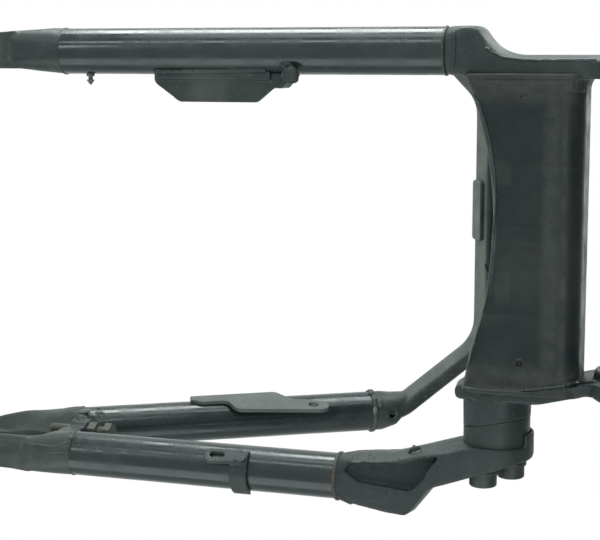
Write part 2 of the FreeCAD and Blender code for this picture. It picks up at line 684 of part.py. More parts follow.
def box_outline(wall):
    """Plan outline of the crossmember, with its waisted rear edge as one arc and two flares."""
    front = BOX_FRONT_X - wall
    rear = BOX_REAR_X + wall
    beyond = 10 if wall else 0
    right_end = BOX_RIGHT_Y - beyond
    left_end = BOX_LEFT_Y + beyond
    waist = Vector(BOX_WAIST_X + wall, BOX_WAIST_Y, 0)
    right_flare = Vector(BOX_FLARE_X + wall, BOX_RIGHT_FLARE_Y, 0)
    left_flare = Vector(BOX_FLARE_X + wall, BOX_LEFT_FLARE_Y, 0)
    edges = [
        Part.makeLine(Vector(front, right_end, 0), Vector(front, left_end, 0)),
        Part.makeLine(Vector(front, left_end, 0), Vector(rear, left_end, 0)),
        Part.makeLine(Vector(rear, left_end, 0), left_flare),
        Part.Arc(left_flare, waist, right_flare).toShape(),
        Part.makeLine(right_flare, Vector(rear, right_end, 0)),
        Part.makeLine(Vector(rear, right_end, 0), Vector(front, right_end, 0)),
    ]
    return Part.Wire(edges)


def long_edges(solid, level):
    """Edges that run along the crossmember at one level."""
    return [e for e in solid.Edges if abs(e.BoundBox.ZMin - level) < 0.01
            and abs(e.BoundBox.ZMax - level) < 0.01 and e.BoundBox.YLength > 8.0]


def bend_edges(solid, level, front_x, front_r, rear_r):
    """Round the long edges at one level: the front one, then the rear ones."""
    front = [e for e in long_edges(solid, level) if abs(e.CenterOfMass.x - front_x) < 0.01]
    solid = solid.makeFillet(front_r, front)
    rear = [e for e in long_edges(solid, level) if e.BoundBox.XMax < front_x - front_r - 5.0]
    return solid.makeFillet(rear_r, rear)


def box_shell(side):
    """One pressed half of the crossmember; side is -1 for the lower half and 1 for the upper one."""
    top = BOX_HALF_Z
    under = BOX_HALF_Z - BOX_WALL
    outer = Part.Face(box_outline(0)).extrude(Vector(0, 0, side * top))
    inner = Part.Face(box_outline(BOX_WALL)).extrude(Vector(0, 0, side * under))
    outer = bend_edges(outer, side * top, BOX_FRONT_X, BOX_FRONT_BEND, BOX_REAR_BEND)
    inner = bend_edges(inner, side * under, BOX_FRONT_X - BOX_WALL, BOX_FRONT_BEND - BOX_WALL,
                       max(BOX_REAR_BEND - BOX_WALL, 1.0))
    shell = outer.cut([inner, left_plate])
    if side < 0:
        drains = [rod(DRAIN_HOLE_D / 2, Vector(DRAIN_X, y, -top - 1), Vector(DRAIN_X, y, -top + 8))
                  for y in (DRAIN_RIGHT_Y, DRAIN_LEFT_Y)]
        shell = shell.cut(drains)
    return shell


def upright_panel():
    """Pressed channel that leans back from the crossmember up to the bridge."""
    head = on_upper_leg(BRIDGE_CROSS_U, 0) - OFF_THE_LEG * (BRIDGE_HEIGHT / 2)
    foot = Vector(PANEL_FOOT_X, 0, BOX_HALF_Z)
    lean = (head - foot).normalize()
    forward = Vector(lean.z, 0, -lean.x)
    low = foot - lean * 12.0
    high = head + lean * 12.0
    wires = []
    for point, half in ((low, PANEL_FOOT_HALF_Y), (high, PANEL_TOP_HALF_Y)):
        right = PANEL_CENTRE_Y - half
        left = PANEL_CENTRE_Y + half
        rear = point
        front = point + forward * PANEL_FLANGE
        corners = [
            Vector(rear.x, right, rear.z), Vector(rear.x, left, rear.z), Vector(front.x, left, front.z),
            Vector(front.x, left - PANEL_SHEET, front.z),
            Vector(rear.x, left - PANEL_SHEET, rear.z) + forward * PANEL_SHEET,
            Vector(rear.x, right + PANEL_SHEET, rear.z) + forward * PANEL_SHEET,
            Vector(front.x, right + PANEL_SHEET, front.z), Vector(front.x, right, front.z),
        ]
        wires.append(rounded_wire(corners, [6, 6, 0, 0, 2, 2, 0, 0]))
    channel = loft(wires, True)
    reach = 4 * PANEL_FOOT_HALF_Y
    below = box(-reach, reach, -reach, reach, -reach, BOX_HALF_Z)
    return channel.cut([below, bridge_solid])


def right_leg_plate():
    """Folded guard plate welded along the inner side of the right lower leg."""
    y0 = RIGHT_LEG_Y + TUBE_R
    low_z = GUARD_TOP_Z - SHEET
    rear = LOWER_LEG_REAR_X + GUARD_LEAD
    front = rear + GUARD_LENGTH
    ear_x = front - 8.0
    inside = y0 - 3.0
    plate = plan_prism([
        (rear, inside), (rear, y0 + GUARD_REAR_REACH), (rear + GUARD_SLOPE, y0 + GUARD_REACH),
        (rear + GUARD_WIDE_END, y0 + GUARD_REACH), (rear + GUARD_WIDE_END + GUARD_STEP, y0 + GUARD_FRONT_REACH),
        (ear_x, y0 + GUARD_FRONT_REACH), (ear_x, inside),
    ], [0, 5, 7, 5, 4, 1, 0], low_z, GUARD_TOP_Z)
    lip = plan_prism([
        (rear + 2.0, inside), (rear + 2.0, y0 + GUARD_LIP), (front - 18.0, y0 + GUARD_LIP), (front - 18.0, inside),
    ], 0, low_z - GUARD_LIP_DEPTH, low_z)
    ear = plan_prism([
        (ear_x - GUARD_EAR_THICK, y0 + GUARD_FRONT_REACH), (ear_x, y0 + GUARD_FRONT_REACH),
        (front + 2.5, inside), (front - 1.5, inside),
    ], 0, low_z - GUARD_EAR_LOW, GUARD_TOP_Z + GUARD_EAR_HIGH)
    leg = rod(TUBE_R, Vector(rear - TUBE_R, RIGHT_LEG_Y, 0), Vector(front + TUBE_R, RIGHT_LEG_Y, 0))
    return plate.fuse([lip, ear]).cut(leg).removeSplitter()


def beside_tube(origin, along, tilt_deg, off):
    """Frame of a plate that lies against a leg's inboard side: a function from plate to space."""
    tilt = math.radians(tilt_deg)
    outward = (ACROSS * math.cos(tilt) + off * math.sin(tilt)) * -1
    down = ACROSS * math.sin(tilt) - off * math.cos(tilt)

    def place(a, low):
        return origin + outward * TUBE_R + along * a + down * low

    return place, outward


def hanger_plate():
    """Flat plate on the inboard side of the left upper leg, with a rounded end that has a hole."""
    place, outward = beside_tube(on_upper_leg(0, LEFT_LEG_Y), UP_THE_LEG, HANGER_TILT, OFF_THE_LEG)
    plate = prism([place(a, low) for a, low in HANGER_OUTLINE], HANGER_R, outward * SHEET)
    centre = place(*HANGER_HOLE)
    return plate.cut(rod(TAB_HOLE_D / 2, centre - outward * SHEET, centre + outward * (2 * SHEET)))


def lower_leg_tab():
    """Bent tab on the left lower leg: a slotted ear and a strap that follows the tube."""
    place, outward = beside_tube(Vector(0, LEFT_LEG_Y, 0), Vector(1, 0, 0), TAB_TILT, Vector(0, 0, 1))
    band = rod(TUBE_R + SHEET, Vector(STRAP_REAR_X, LEFT_LEG_Y, 0), Vector(STRAP_FRONT_X, LEFT_LEG_Y, 0))
    band = band.common(box(STRAP_REAR_X - 1.0, STRAP_FRONT_X + 1.0, LEFT_LEG_Y - 14.6, LEFT_LEG_Y + TUBE_OD,
                           -TUBE_OD, STRAP_TOP_Z))
    ear = prism([place(STRAP_REAR_X + a, low) for a, low in TAB_OUTLINE], TAB_R, outward * SHEET)
    tube_body = rod(TUBE_R, Vector(STRAP_REAR_X - 40.0, LEFT_LEG_Y, 0), Vector(STRAP_FRONT_X + 10.0, LEFT_LEG_Y, 0))
    half_long = (TAB_SLOT_LENGTH - TAB_SLOT_WIDTH) / 2
    ends = [place(TAB_SLOT_X - half_long, TAB_SLOT_LOW), place(TAB_SLOT_X + half_long, TAB_SLOT_LOW)]
    wide = [place(TAB_SLOT_X + sx * half_long, TAB_SLOT_LOW + sy * TAB_SLOT_WIDTH / 2) - outward * SHEET
            for sx, sy in ((-1, -1), (1, -1), (1, 1), (-1, 1))]
    slot = prism(wide, 0, outward * (3 * SHEET))
    for end in ends:
        slot = slot.fuse(rod(TAB_SLOT_WIDTH / 2, end - outward * SHEET, end + outward * (2 * SHEET)))
    return band.fuse(ear).cut([tube_body, slot]).removeSplitter()


def hose_clip():
    """Small push-in stud with a barbed end under the right lower leg."""
    top = RIGHT_LEG_Y + TUBE_R
    stem = rod(CLIP_D / 2, Vector(CLIP_X, top - 3.0, 0), Vector(CLIP_X, top + CLIP_REACH - 1.5, 0))
    barb = Part.makeCone(CLIP_D * 0.95, 0.5, 3.5, Vector(CLIP_X, top + CLIP_REACH - 3.5, 0), ACROSS)
    collar = rod(CLIP_D * 0.9, Vector(CLIP_X, top - 0.5, 0), Vector(CLIP_X, top + 1.6, 0))
    leg = rod(TUBE_R, Vector(CLIP_X - 10, RIGHT_LEG_Y, 0), Vector(CLIP_X + 10, RIGHT_LEG_Y, 0))
    return stem.fuse([barb, collar]).cut(leg).removeSplitter()


def pivot_bush(plate_out_y):
    """Bush pressed into a pivot boss, standing a little proud at both ends."""
    outer, inner = pivot_ends(plate_out_y)
    proud = Vector(0, math.copysign(BUSH_PROUD, plate_out_y), 0)
    start = Vector(0, outer, 0) + proud
    end = Vector(0, inner, 0) - proud
    return rod(PIVOT_BORE_R, start, end).cut(rod(PIVOT_BOLT_R, start, end))


def save(name, shape):
    """Write one node and print what it is."""
    shape.exportStep("parts/%s.step" % name)
    print("%-22s solids %d volume %.0f valid %s" % (name, len(shape.Solids), shape.Volume, shape.isValid()))


os.makedirs("parts", exist_ok=True)
bridge_solid = bridge()
legs = (RIGHT_LEG_Y, LEFT_LEG_Y)
save("bridge", bridge_solid)
save("bridge_pad", bridge_pad())
save("right_lower_leg", lower_leg(RIGHT_LEG_Y, RIGHT_LOWER_FRONT_X))
save("left_lower_leg", lower_leg(LEFT_LEG_Y, LEFT_LOWER_FRONT_X))
save("right_upper_leg", upper_leg(RIGHT_LEG_Y))
save("left_upper_leg", upper_leg(LEFT_LEG_Y))
save("right_axle_carrier", carrier(RIGHT_LEG_Y))
save("left_axle_carrier", carrier(LEFT_LEG_Y))
save("adjuster_screws", Part.makeCompound([adjuster_screw(y) for y in legs]))
save("adjuster_nuts", Part.makeCompound([adjuster_nut(y) for y in legs]))
save("right_side_forging", right_forging())
left_plate = left_forging()
save("left_side_forging", left_plate)
save("crossmember_lower_half", box_shell(-1))
save("crossmember_upper_half", box_shell(1))
save("upright_panel", upright_panel())
save("belt_access_block", belt_block())
save("left_elbow_forging", left_elbow())
save("block_screws", Part.makeCompound([block_screw(seat) for seat in screw_places()]))
save("block_washers", Part.makeCompound([block_washer(seat) for seat in screw_places()]))
save("right_pivot_bush", pivot_bush(RIGHT_PLATE_OUT_Y))
save("left_pivot_bush", pivot_bush(LEFT_PLATE_OUT_Y))
save("right_leg_guard_plate", right_leg_plate())
save("left_hanger_plate", hanger_plate())
save("left_slotted_tab", lower_leg_tab())
save("hose_clip", hose_clip())
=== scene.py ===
import math
import random

import bpy
from mathutils import Matrix, Vector, noise


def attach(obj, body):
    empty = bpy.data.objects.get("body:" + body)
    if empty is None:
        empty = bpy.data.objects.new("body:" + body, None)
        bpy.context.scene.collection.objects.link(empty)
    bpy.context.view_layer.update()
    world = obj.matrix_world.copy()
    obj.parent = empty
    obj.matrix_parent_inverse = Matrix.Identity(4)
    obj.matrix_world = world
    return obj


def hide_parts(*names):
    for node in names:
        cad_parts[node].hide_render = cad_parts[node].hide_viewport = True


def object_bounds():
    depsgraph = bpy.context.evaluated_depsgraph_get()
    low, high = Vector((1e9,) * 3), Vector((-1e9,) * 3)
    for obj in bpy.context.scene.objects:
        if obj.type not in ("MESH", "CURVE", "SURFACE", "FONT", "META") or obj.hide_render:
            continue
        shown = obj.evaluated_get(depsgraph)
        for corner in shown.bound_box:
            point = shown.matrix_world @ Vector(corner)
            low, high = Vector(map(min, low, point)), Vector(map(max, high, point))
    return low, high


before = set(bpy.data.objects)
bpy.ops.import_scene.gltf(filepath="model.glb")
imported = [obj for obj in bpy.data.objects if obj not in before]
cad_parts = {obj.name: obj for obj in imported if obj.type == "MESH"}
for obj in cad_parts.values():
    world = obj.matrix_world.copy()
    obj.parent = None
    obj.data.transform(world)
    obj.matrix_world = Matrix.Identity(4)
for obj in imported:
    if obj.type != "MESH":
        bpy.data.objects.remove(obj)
cad_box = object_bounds()

MM = 0.001

# Places of the model, in millimetres.
RIGHT_Y = -117.0
LEFT_Y = 176.0
TUBE_R = 15.9
LEG_REAR_X = -404.0
RIGHT_FRONT_X = -129.5
LEFT_FRONT_X = -202.0
LEG_MEET_X = -548.0
LEG_SLOPE = math.radians(31)
ADJUSTER_Z = 36.0

# Camera, worked out from the photograph. The focal length is in pixels.
CAMERA_AT = (79.4, -118.1, -973.8)
LOOK = (-0.3003, 0.1456, 0.9427)
RIGHTWARD = (0.9529, 0.0014, 0.3034)
DOWNWARD = (0.0428, 0.9893, -0.1391)
LENS_MM = 90.0
FILM_MM = 36.0
FOCAL = 1500
MIDDLE_PIXEL = (300, 270)


def mm(x, y, z):
    return Vector((x * MM, y * MM, z * MM))


def on_leg(along, y):
    """The point on an upper leg's axis, this far along from where the legs meet."""
    return mm(LEG_MEET_X + along * math.cos(LEG_SLOPE), y, along * math.sin(LEG_SLOPE))


LEG_WAY = Vector((math.cos(LEG_SLOPE), 0, math.sin(LEG_SLOPE)))


def join(tree, source, target):
    tree.links.new(source, target)


def texture(tree, scale, detail, rough=0.55, stretch=None):
    """A noise texture in the model's own coordinates, stretched along one axis if wanted."""
    place = tree.nodes.new("ShaderNodeTexCoord").outputs["Object"]
    if stretch:
        mapping = tree.nodes.new("ShaderNodeMapping")
        mapping.inputs["Scale"].default_value = stretch
        join(tree, place, mapping.inputs["Vector"])
        place = mapping.outputs["Vector"]
    made = tree.nodes.new("ShaderNodeTexNoise")
    made.inputs["Scale"].default_value = scale
    made.inputs["Detail"].default_value = detail
    made.inputs["Roughness"].default_value = rough
    join(tree, place, made.inputs["Vector"])
    return made.outputs["Fac"]


def ramp(tree, source, low, high, start=0.0, end=1.0):
    made = tree.nodes.new("ShaderNodeMapRange")
    made.interpolation_type = "SMOOTHSTEP"
    made.inputs["From Min"].default_value = low
    made.inputs["From Max"].default_value = high
    made.inputs["To Min"].default_value = start
    made.inputs["To Max"].default_value = end
    join(tree, source, made.inputs["Value"])
    return made.outputs["Result"]


def maths(tree, kind, first, second):
    made = tree.nodes.new("ShaderNodeMath")
    made.operation = kind
    for place, value in enumerate((first, second)):
        if isinstance(value, (int, float)):
            made.inputs[place].default_value = value
        else:
            join(tree, value, made.inputs[place])
    return made.outputs[0]


def blend_colour(tree, factor, first, second):
    made = tree.nodes.new("ShaderNodeMix")
    made.data_type = "RGBA"
    join(tree, factor, made.inputs["Factor"])
    for place, value in ((6, first), (7, second)):
        if isinstance(value, tuple):
            made.inputs[place].default_value = (*value, 1.0)
        else:
            join(tree, value, made.inputs[place])
    return made.outputs[2]


def edges(tree, radius):
    """The rounded normal of sharp edges, and a mask that is 1 on them."""
    rounded = tree.nodes.new("ShaderNodeBevel")
    rounded.samples = 4
    rounded.inputs["Radius"].default_value = radius
    flat = tree.nodes.new("ShaderNodeNewGeometry")
    dot = tree.nodes.new("ShaderNodeVectorMath")
    dot.operation = "DOT_PRODUCT"
    join(tree, rounded.outputs["Normal"], dot.inputs[0])
    join(tree, flat.outputs["Normal"], dot.inputs[1])
    return rounded.outputs["Normal"], ramp(tree, dot.outputs["Value"], 0.995, 0.8)


def surface(
    name,
    base,
    dust,
    cover=0.3,
    rough=(0.22, 0.5),
    bump=0.15,
    grain=500.0,
    edge=0.25,
    edge_colour=None,
    metallic=0.0,
    ior=1.42,
    round_edge=0.0008,
    specks=1.0,
    patch=None,
    patch_colour=None,
    patch_rough=0.0,
):
    """Paint or metal with patches and specks of dust, coloured edges and a fine grain. The edge
    colour is wear, and on the crossmember it is also a painted highlight along the edges.
    """
    made = bpy.data.materials.new(name)
    made.use_nodes = True
    tree = made.node_tree
    tree.nodes.clear()
    out = tree.nodes.new("ShaderNodeOutputMaterial")
    shader = tree.nodes.new("ShaderNodeBsdfPrincipled")
    join(tree, shader.outputs[0], out.inputs[0])
    patches = ramp(tree, texture(tree, 16.0, 6.0, 0.6), 0.42, 0.72)
    streaks = ramp(tree, texture(tree, 30.0, 4.0, 0.6, (0.25, 2.2, 2.2)), 0.5, 0.75)
    dots = ramp(tree, texture(tree, 420.0, 2.0, 0.5), 0.60, 0.74, 0.0, specks)
    mask = maths(tree, "MAXIMUM", patches, maths(tree, "MULTIPLY", streaks, 0.7))
    mask = maths(tree, "MAXIMUM", maths(tree, "MULTIPLY", mask, 0.75), dots)
    mask = maths(tree, "MULTIPLY", mask, cover)
    normal, edge_mask = edges(tree, round_edge)
    colour = blend_colour(tree, mask, base, dust)
    # A patch lays its own colour over a mask: dust smudges, and in some materials painted shade,
    # painted light and a painted reflection.
    if patch:
        part = patch(tree)
        colour = blend_colour(tree, part, colour, patch_colour)
    # edge colour: wear, and also a painted highlight along edges
    mark_share = maths(tree, "MULTIPLY", edge_mask, edge)
    colour = blend_colour(tree, mark_share, colour, edge_colour or dust)
    join(tree, colour, shader.inputs["Base Color"])
    haze = ramp(tree, texture(tree, 45.0, 5.0, 0.65), 0.3, 0.7, rough[0], rough[1])
    dull = maths(tree, "MULTIPLY", mask, 0.5)
    if patch:
        dull = maths(tree, "ADD", dull, maths(tree, "MULTIPLY", part, patch_rough))
    join(tree, maths(tree, "ADD", haze, dull), shader.inputs["Roughness"])
    shader.inputs["Metallic"].default_value = metallic
    shader.inputs["IOR"].default_value = ior
    relief = tree.nodes.new("ShaderNodeBump")
    relief.inputs["Strength"].default_value = bump
    relief.inputs["Distance"].default_value = 0.0006
    height = texture(tree, grain, 3.0, 0.55)
    height = maths(tree, "ADD", height, maths(tree, "MULTIPLY", mask, 0.6))
    join(tree, height, relief.inputs["Height"])
    join(tree, normal, relief.inputs["Normal"])
    join(tree, relief.outputs["Normal"], shader.inputs["Normal"])
    return made


def place_of(tree):
    """The model's own coordinates, in metres, as three values."""
    parts = tree.nodes.new("ShaderNodeSeparateXYZ")
    join(tree, tree.nodes.new("ShaderNodeTexCoord").outputs["Object"], parts.inputs[0])
    return parts.outputs


def facing(tree):
    """The surface's direction as three values."""
    parts = tree.nodes.new("ShaderNodeSeparateXYZ")
    join(tree, tree.nodes.new("ShaderNodeNewGeometry").outputs["Normal"], parts.inputs[0])
    return parts.outputs


def between(tree, value, low, high, soft=1.0):
    """1 between two places in millimetres, with soft ends."""
    rise = ramp(tree, value, (low - soft) * MM, (low + soft) * MM)
    fall = ramp(tree, value, (high + soft) * MM, (high - soft) * MM)
    return maths(tree, "MULTIPLY", rise, fall)


def pocket_painted_shade(tree):
    """The floor of the elbow's recess, facing down, where the colour is darkened: painted shade."""
    x, _, z = place_of(tree)
    deep = between(tree, z, -16.0, -8.0, 0.8)
    floor = maths(tree, "MULTIPLY", deep, between(tree, x, -200, -108, 4))
    return maths(tree, "MULTIPLY", floor, ramp(tree, facing(tree)[2], -0.55, -0.8))


def rearward_painted_light(tree):
    """Surfaces that lean to the rear, painted paler in a noisy share: painted light from the rear.
    """
    # noise varies how strongly the painted light shows
    mark_share = ramp(tree, texture(tree, 60.0, 4.0, 0.6), 0.3, 0.6, 0.6, 1.0)
    return maths(tree, "MULTIPLY", ramp(tree, facing(tree)[0], -0.02, -0.5), mark_share)


def smudges_and_painted_reflection(tree):
    """Two faint smudged squares, lighter ends and a painted reflection, a lighter stripe along the
    front bend, on the crossmember's underside.
    """
    x, y, _ = place_of(tree)
    first = maths(tree, "MULTIPLY", between(tree, x, -92, -82), between(tree, y, -48, -32))
    second = maths(tree, "MULTIPLY", between(tree, x, -91, -81), between(tree, y, 24, 45))
    # painted reflection: a lighter stripe where the front bend starts
    painted_reflection_stripe = maths(tree, "MULTIPLY", between(tree, x, -61, -51, 3.5), 0.55)
    ends = maths(tree, "SUBTRACT", 1.0, between(tree, y, -86, 86, 7))
    both = maths(tree, "MAXIMUM", first, second)
    both = maths(tree, "MAXIMUM", maths(tree, "MULTIPLY", both, 0.22), painted_reflection_stripe)
    both = maths(tree, "MAXIMUM", both, maths(tree, "MULTIPLY", ends, 0.6))
    faded = ramp(tree, texture(tree, 90.0, 5.0, 0.65), 0.25, 0.75, 0.1, 0.42)
    return maths(tree, "MULTIPLY", both, faded)


BOX_BLACK = (0.010, 0.015, 0.015)
TUBE_BLACK = (0.015, 0.024, 0.0245)
SLATE = (0.017, 0.028, 0.027)
DUST = (0.13, 0.14, 0.125)
PALE = (0.30, 0.31, 0.28)
RUST = (0.16, 0.075, 0.035)
KHAKI = (0.11, 0.106, 0.083)

tube_paint = surface(
    "tube_paint", TUBE_BLACK, DUST, 0.16, (0.10, 0.34), 0.03, 700.0, 0.1, ior=1.5, specks=0.2
)
box_paint = surface(
    # the large edge share here is partly a painted highlight along the crossmember's edges
    "crossmember_paint", BOX_BLACK, DUST, 0.16, (0.28, 0.5), 0.08, 600.0, 0.6, ior=1.35, specks=0.4,
    # the patch paints dust smudges and a painted reflection on the crossmember
    patch=smudges_and_painted_reflection, patch_colour=DUST, patch_rough=0.5,
)
forging_paint = surface(
    "forging_paint", SLATE, DUST, 0.22, (0.34, 0.58), 0.35, 330.0, 0.5, round_edge=0.0015
)
elbow_paint = surface(
    "elbow_paint", SLATE, DUST, 0.26, (0.38, 0.62), 0.55, 260.0, 0.5, round_edge=0.0015,
    # the patch colour is painted shade on the recess floor
    patch=pocket_painted_shade, patch_colour=(0.012, 0.018, 0.018), patch_rough=0.1,
)
bridge_paint = surface(
    "bridge_paint", SLATE, PALE, 0.22, (0.34, 0.58), 0.3, 330.0, 0.5, round_edge=0.0015,
    # the patch colour is painted light on the rear-facing surfaces
    patch=rearward_painted_light, patch_colour=(0.13, 0.145, 0.128), patch_rough=0.2,
)
hanger_paint = surface(
    "hanger_paint", (0.07, 0.084, 0.076), PALE, 0.4, (0.4, 0.6), 0.15, 500.0, 0.5
)
bracket_paint = surface("bracket_paint", SLATE, PALE, 0.18, (0.35, 0.6), 0.15, 500.0, 0.6)
carrier_paint = surface(
    "carrier_paint", SLATE, PALE, 0.26, (0.30, 0.55), 0.2, 380.0, 0.5, round_edge=0.0015, specks=0.25
)
weld_paint = surface(
    "weld_paint", SLATE, PALE, 0.30, (0.25, 0.5), 0.35, 500.0, 0.0, specks=0.4
)
flare_paint = surface(
    "flare_paint", SLATE, PALE, 0.34, (0.3, 0.55), 0.5, 260.0, 0.3, specks=0.6
)
dirt = surface("dirt", (0.045, 0.047, 0.040), PALE, 0.3, (0.6, 0.9), 0.6, 900.0, 0.0)
rusty_weld = surface("rusty_weld", (0.05, 0.05, 0.045), RUST, 0.6, (0.4, 0.7), 0.5, 700.0, 0.0)
screw_paint = surface("screw_paint", SLATE, DUST, 0.35, (0.28, 0.5), 0.2, 600.0, 0.6)
thread_steel = surface(
    "thread_steel", (0.10, 0.10, 0.085), KHAKI, 0.8, (0.4, 0.6), 0.3, 900.0, 0.2, metallic=0.5
)
zinc_steel = surface(
    "zinc_steel", (0.085, 0.094, 0.082), KHAKI, 0.8, (0.35, 0.6), 0.3, 900.0, 0.3, metallic=0.4
)
bush_steel = surface(
    "bush_steel", (0.40, 0.40, 0.39), DUST, 0.2, (0.2, 0.4), 0.1, 900.0, 0.2, metallic=1.0
)
clip_look = surface("clip_look", (0.10, 0.11, 0.10), PALE, 0.4, (0.4, 0.6), 0.2, 900.0, 0.3)

NODE_LOOK = {
    "bridge": bridge_paint,
    "bridge_pad": bridge_paint,
    "right_lower_leg": tube_paint,
    "left_lower_leg": tube_paint,
    "right_upper_leg": tube_paint,
    "left_upper_leg": tube_paint,
    "right_axle_carrier": carrier_paint,
    "left_axle_carrier": carrier_paint,
    "adjuster_screws": zinc_steel,
    "adjuster_nuts": zinc_steel,
    "right_side_forging": forging_paint,
    "left_side_forging": forging_paint,
    "crossmember_lower_half": box_paint,
    "crossmember_upper_half": box_paint,
    "upright_panel": box_paint,
    "belt_access_block": forging_paint,
    "left_elbow_forging": elbow_paint,
    "block_screws": screw_paint,
    "block_washers": screw_paint,
    "right_pivot_bush": bush_steel,
    "left_pivot_bush": bush_steel,
    "right_leg_guard_plate": bracket_paint,
    "left_hanger_plate": hanger_paint,
    "left_slotted_tab": bracket_paint,
    "hose_clip": clip_look,
}
for node_name, look in NODE_LOOK.items():
    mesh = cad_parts[node_name].data
    mesh.materials.clear()
    mesh.materials.append(look)


BOX_MARGIN = 1e-5


def inside(point):
    """The point, moved into the box that the solids fill if it lies outside."""
    low, high = cad_box[0], cad_box[1]
    return [
        min(max(point[axis], low[axis] + BOX_MARGIN), high[axis] - BOX_MARGIN) for axis in range(3)
    ]


def add_piece(name, points, faces, look):
    mesh = bpy.data.meshes.new(name)
    mesh.from_pydata([inside(point) for point in points], [], faces)
    mesh.update()
    for face in mesh.polygons:
        face.use_smooth = True
    mesh.materials.append(look)
    piece = bpy.data.objects.new(name, mesh)
    bpy.context.scene.collection.objects.link(piece)
    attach(piece, "root")
    return piece


def resample(path, step, closed):
    """Points along a path, evenly spaced."""
    corners = list(path) + ([path[0]] if closed else [])
    lengths = [(b - a).length for a, b in zip(corners, corners[1:])]
    total = sum(lengths)
    count = max(4, round(total / step))
    made = []
    leg = 0
    passed = 0.0
    for number in range(count if closed else count + 1):
        at = min(total * number / count, total * 0.999999)
        while at > passed + lengths[leg]:
            passed += lengths[leg]
            leg += 1
        made.append(corners[leg].lerp(corners[leg + 1], (at - passed) / lengths[leg]))
    return made


BEAD_SIDES = 10
BEAD_FLATNESS = 0.8
RIPPLE = 2.3 * MM
RIPPLE_HEIGHT = 0.16
LUMP_HEIGHT = 0.22
LUMP_SCALE = 260
WANDER = 0.12


def bead(name, path, radius, closed=False, look=None, seed=1):
    """A weld bead: a rounded sweep along a path, with ripples and small unevenness."""
    dice = random.Random(seed)
    shift = dice.uniform(0, 50)
    stations = resample(path, RIPPLE / 4, closed)
    count = len(stations)
    points = []
    side = None
    for number, centre in enumerate(stations):
        next_one = (number + 1) % count if closed else min(number + 1, count - 1)
        after = stations[next_one]
        before = stations[number - 1] if closed or number else stations[0]
        way = (after - before).normalized()
        if side is None:
            side = way.orthogonal().normalized()
        side = (side - way * side.dot(way)).normalized()
        third = way.cross(side)
        phase = (number % 4) / 4
        spot = (centre.x * LUMP_SCALE + shift, centre.y * LUMP_SCALE, centre.z * LUMP_SCALE)
        lump = noise.noise(Vector(spot))
        size = radius * (1.0 + RIPPLE_HEIGHT * (phase - 0.4) + LUMP_HEIGHT * lump)
        if not closed:
            ends = min(number, count - 1 - number) / 4
            size *= min(1.0, 0.35 + 0.65 * math.sqrt(min(ends, 1.0)))
        wander = Vector((lump, -lump, lump)) * radius * WANDER
        for turn in range(BEAD_SIDES):
            angle = math.tau * turn / BEAD_SIDES
            out = side * math.cos(angle) + third * math.sin(angle) * BEAD_FLATNESS
            points.append(centre + wander + out * size)
    faces = []
    rows = count if closed else count - 1
    for row in range(rows):
        here = row * BEAD_SIDES
        there = ((row + 1) % count) * BEAD_SIDES
        for turn in range(BEAD_SIDES):
            beside = (turn + 1) % BEAD_SIDES
            faces.append((here + turn, here + beside, there + beside, there + turn))
    if not closed:
        faces.append(tuple(reversed(range(BEAD_SIDES))))
        last = (count - 1) * BEAD_SIDES
        faces.append(tuple(range(last, last + BEAD_SIDES)))
    return add_piece(name, points, faces, look or weld_paint)


def ring(centre, axis, radius, count=48, toward=(0, 0, -1)):
    """Points round an axis. The first lies nearest the direction toward."""
    axis = axis.normalized()
    first = Vector(toward)
    first = (first - axis * first.dot(axis)).normalized()
    second = axis.cross(first)
    made = []
    for number in range(count):
        angle = math.radians(360.0 * number / count)
        made.append(centre + (first * math.cos(angle) + second * math.sin(angle)) * radius)
    return made


# The camera.
camera_data = bpy.data.cameras.new("camera")
camera_data.lens = LENS_MM
camera_data.sensor_width = FILM_MM
camera_data.clip_start = 0.05
camera_data.clip_end = 20.0
camera = bpy.data.objects.new("camera", camera_data)
bpy.context.scene.collection.objects.link(camera)
turned = Matrix([(RIGHTWARD[row], -DOWNWARD[row], -LOOK[row]) for row in range(3)]).to_4x4()
camera.matrix_world = Matrix.Translation(mm(*CAMERA_AT)) @ turned
bpy.context.scene.camera = camera


def apply_modifiers(piece):
    graph = bpy.context.evaluated_depsgraph_get()
    mesh = bpy.data.meshes.new_from_object(piece.evaluated_get(graph))
    piece.modifiers.clear()
    piece.data = mesh
    return mesh


def cast(node_name, look, voxel=1.2, rounds=4, shape=None, softer=None):
    """A node's own surface, made even and softened as forged steel is. It replaces the node."""
    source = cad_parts[node_name]
    piece = bpy.data.objects.new(f"{node_name}_surface", source.data.copy())
    bpy.context.scene.collection.objects.link(piece)
    even = piece.modifiers.new("even", "REMESH")
    even.mode = "VOXEL"
    even.voxel_size = voxel * MM
    soft = piece.modifiers.new("soft", "SMOOTH")
    soft.factor = 0.5
    soft.iterations = rounds
    mesh = apply_modifiers(piece)
    if shape:
        for vertex in mesh.vertices:
            vertex.co = shape(vertex.co / MM) * MM
    if softer:
        group = piece.vertex_groups.new(name="softer")
        for vertex in mesh.vertices:
            group.add([vertex.index], softer(vertex.co / MM), "REPLACE")
        local = piece.modifiers.new("local", "SMOOTH")
        local.factor = 0.5
        local.iterations = 30
        local.vertex_group = "softer"
        mesh = apply_modifiers(piece)
    for face in mesh.polygons:
        face.use_smooth = True
    mesh.materials.clear()
    mesh.materials.append(look)
    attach(piece, "root")
    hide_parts(node_name)
    return piece


def smooth_step(value, low, high):
    part = min(max((value - low) / (high - low), 0.0), 1.0)
    return part * part * (3 - 2 * part)


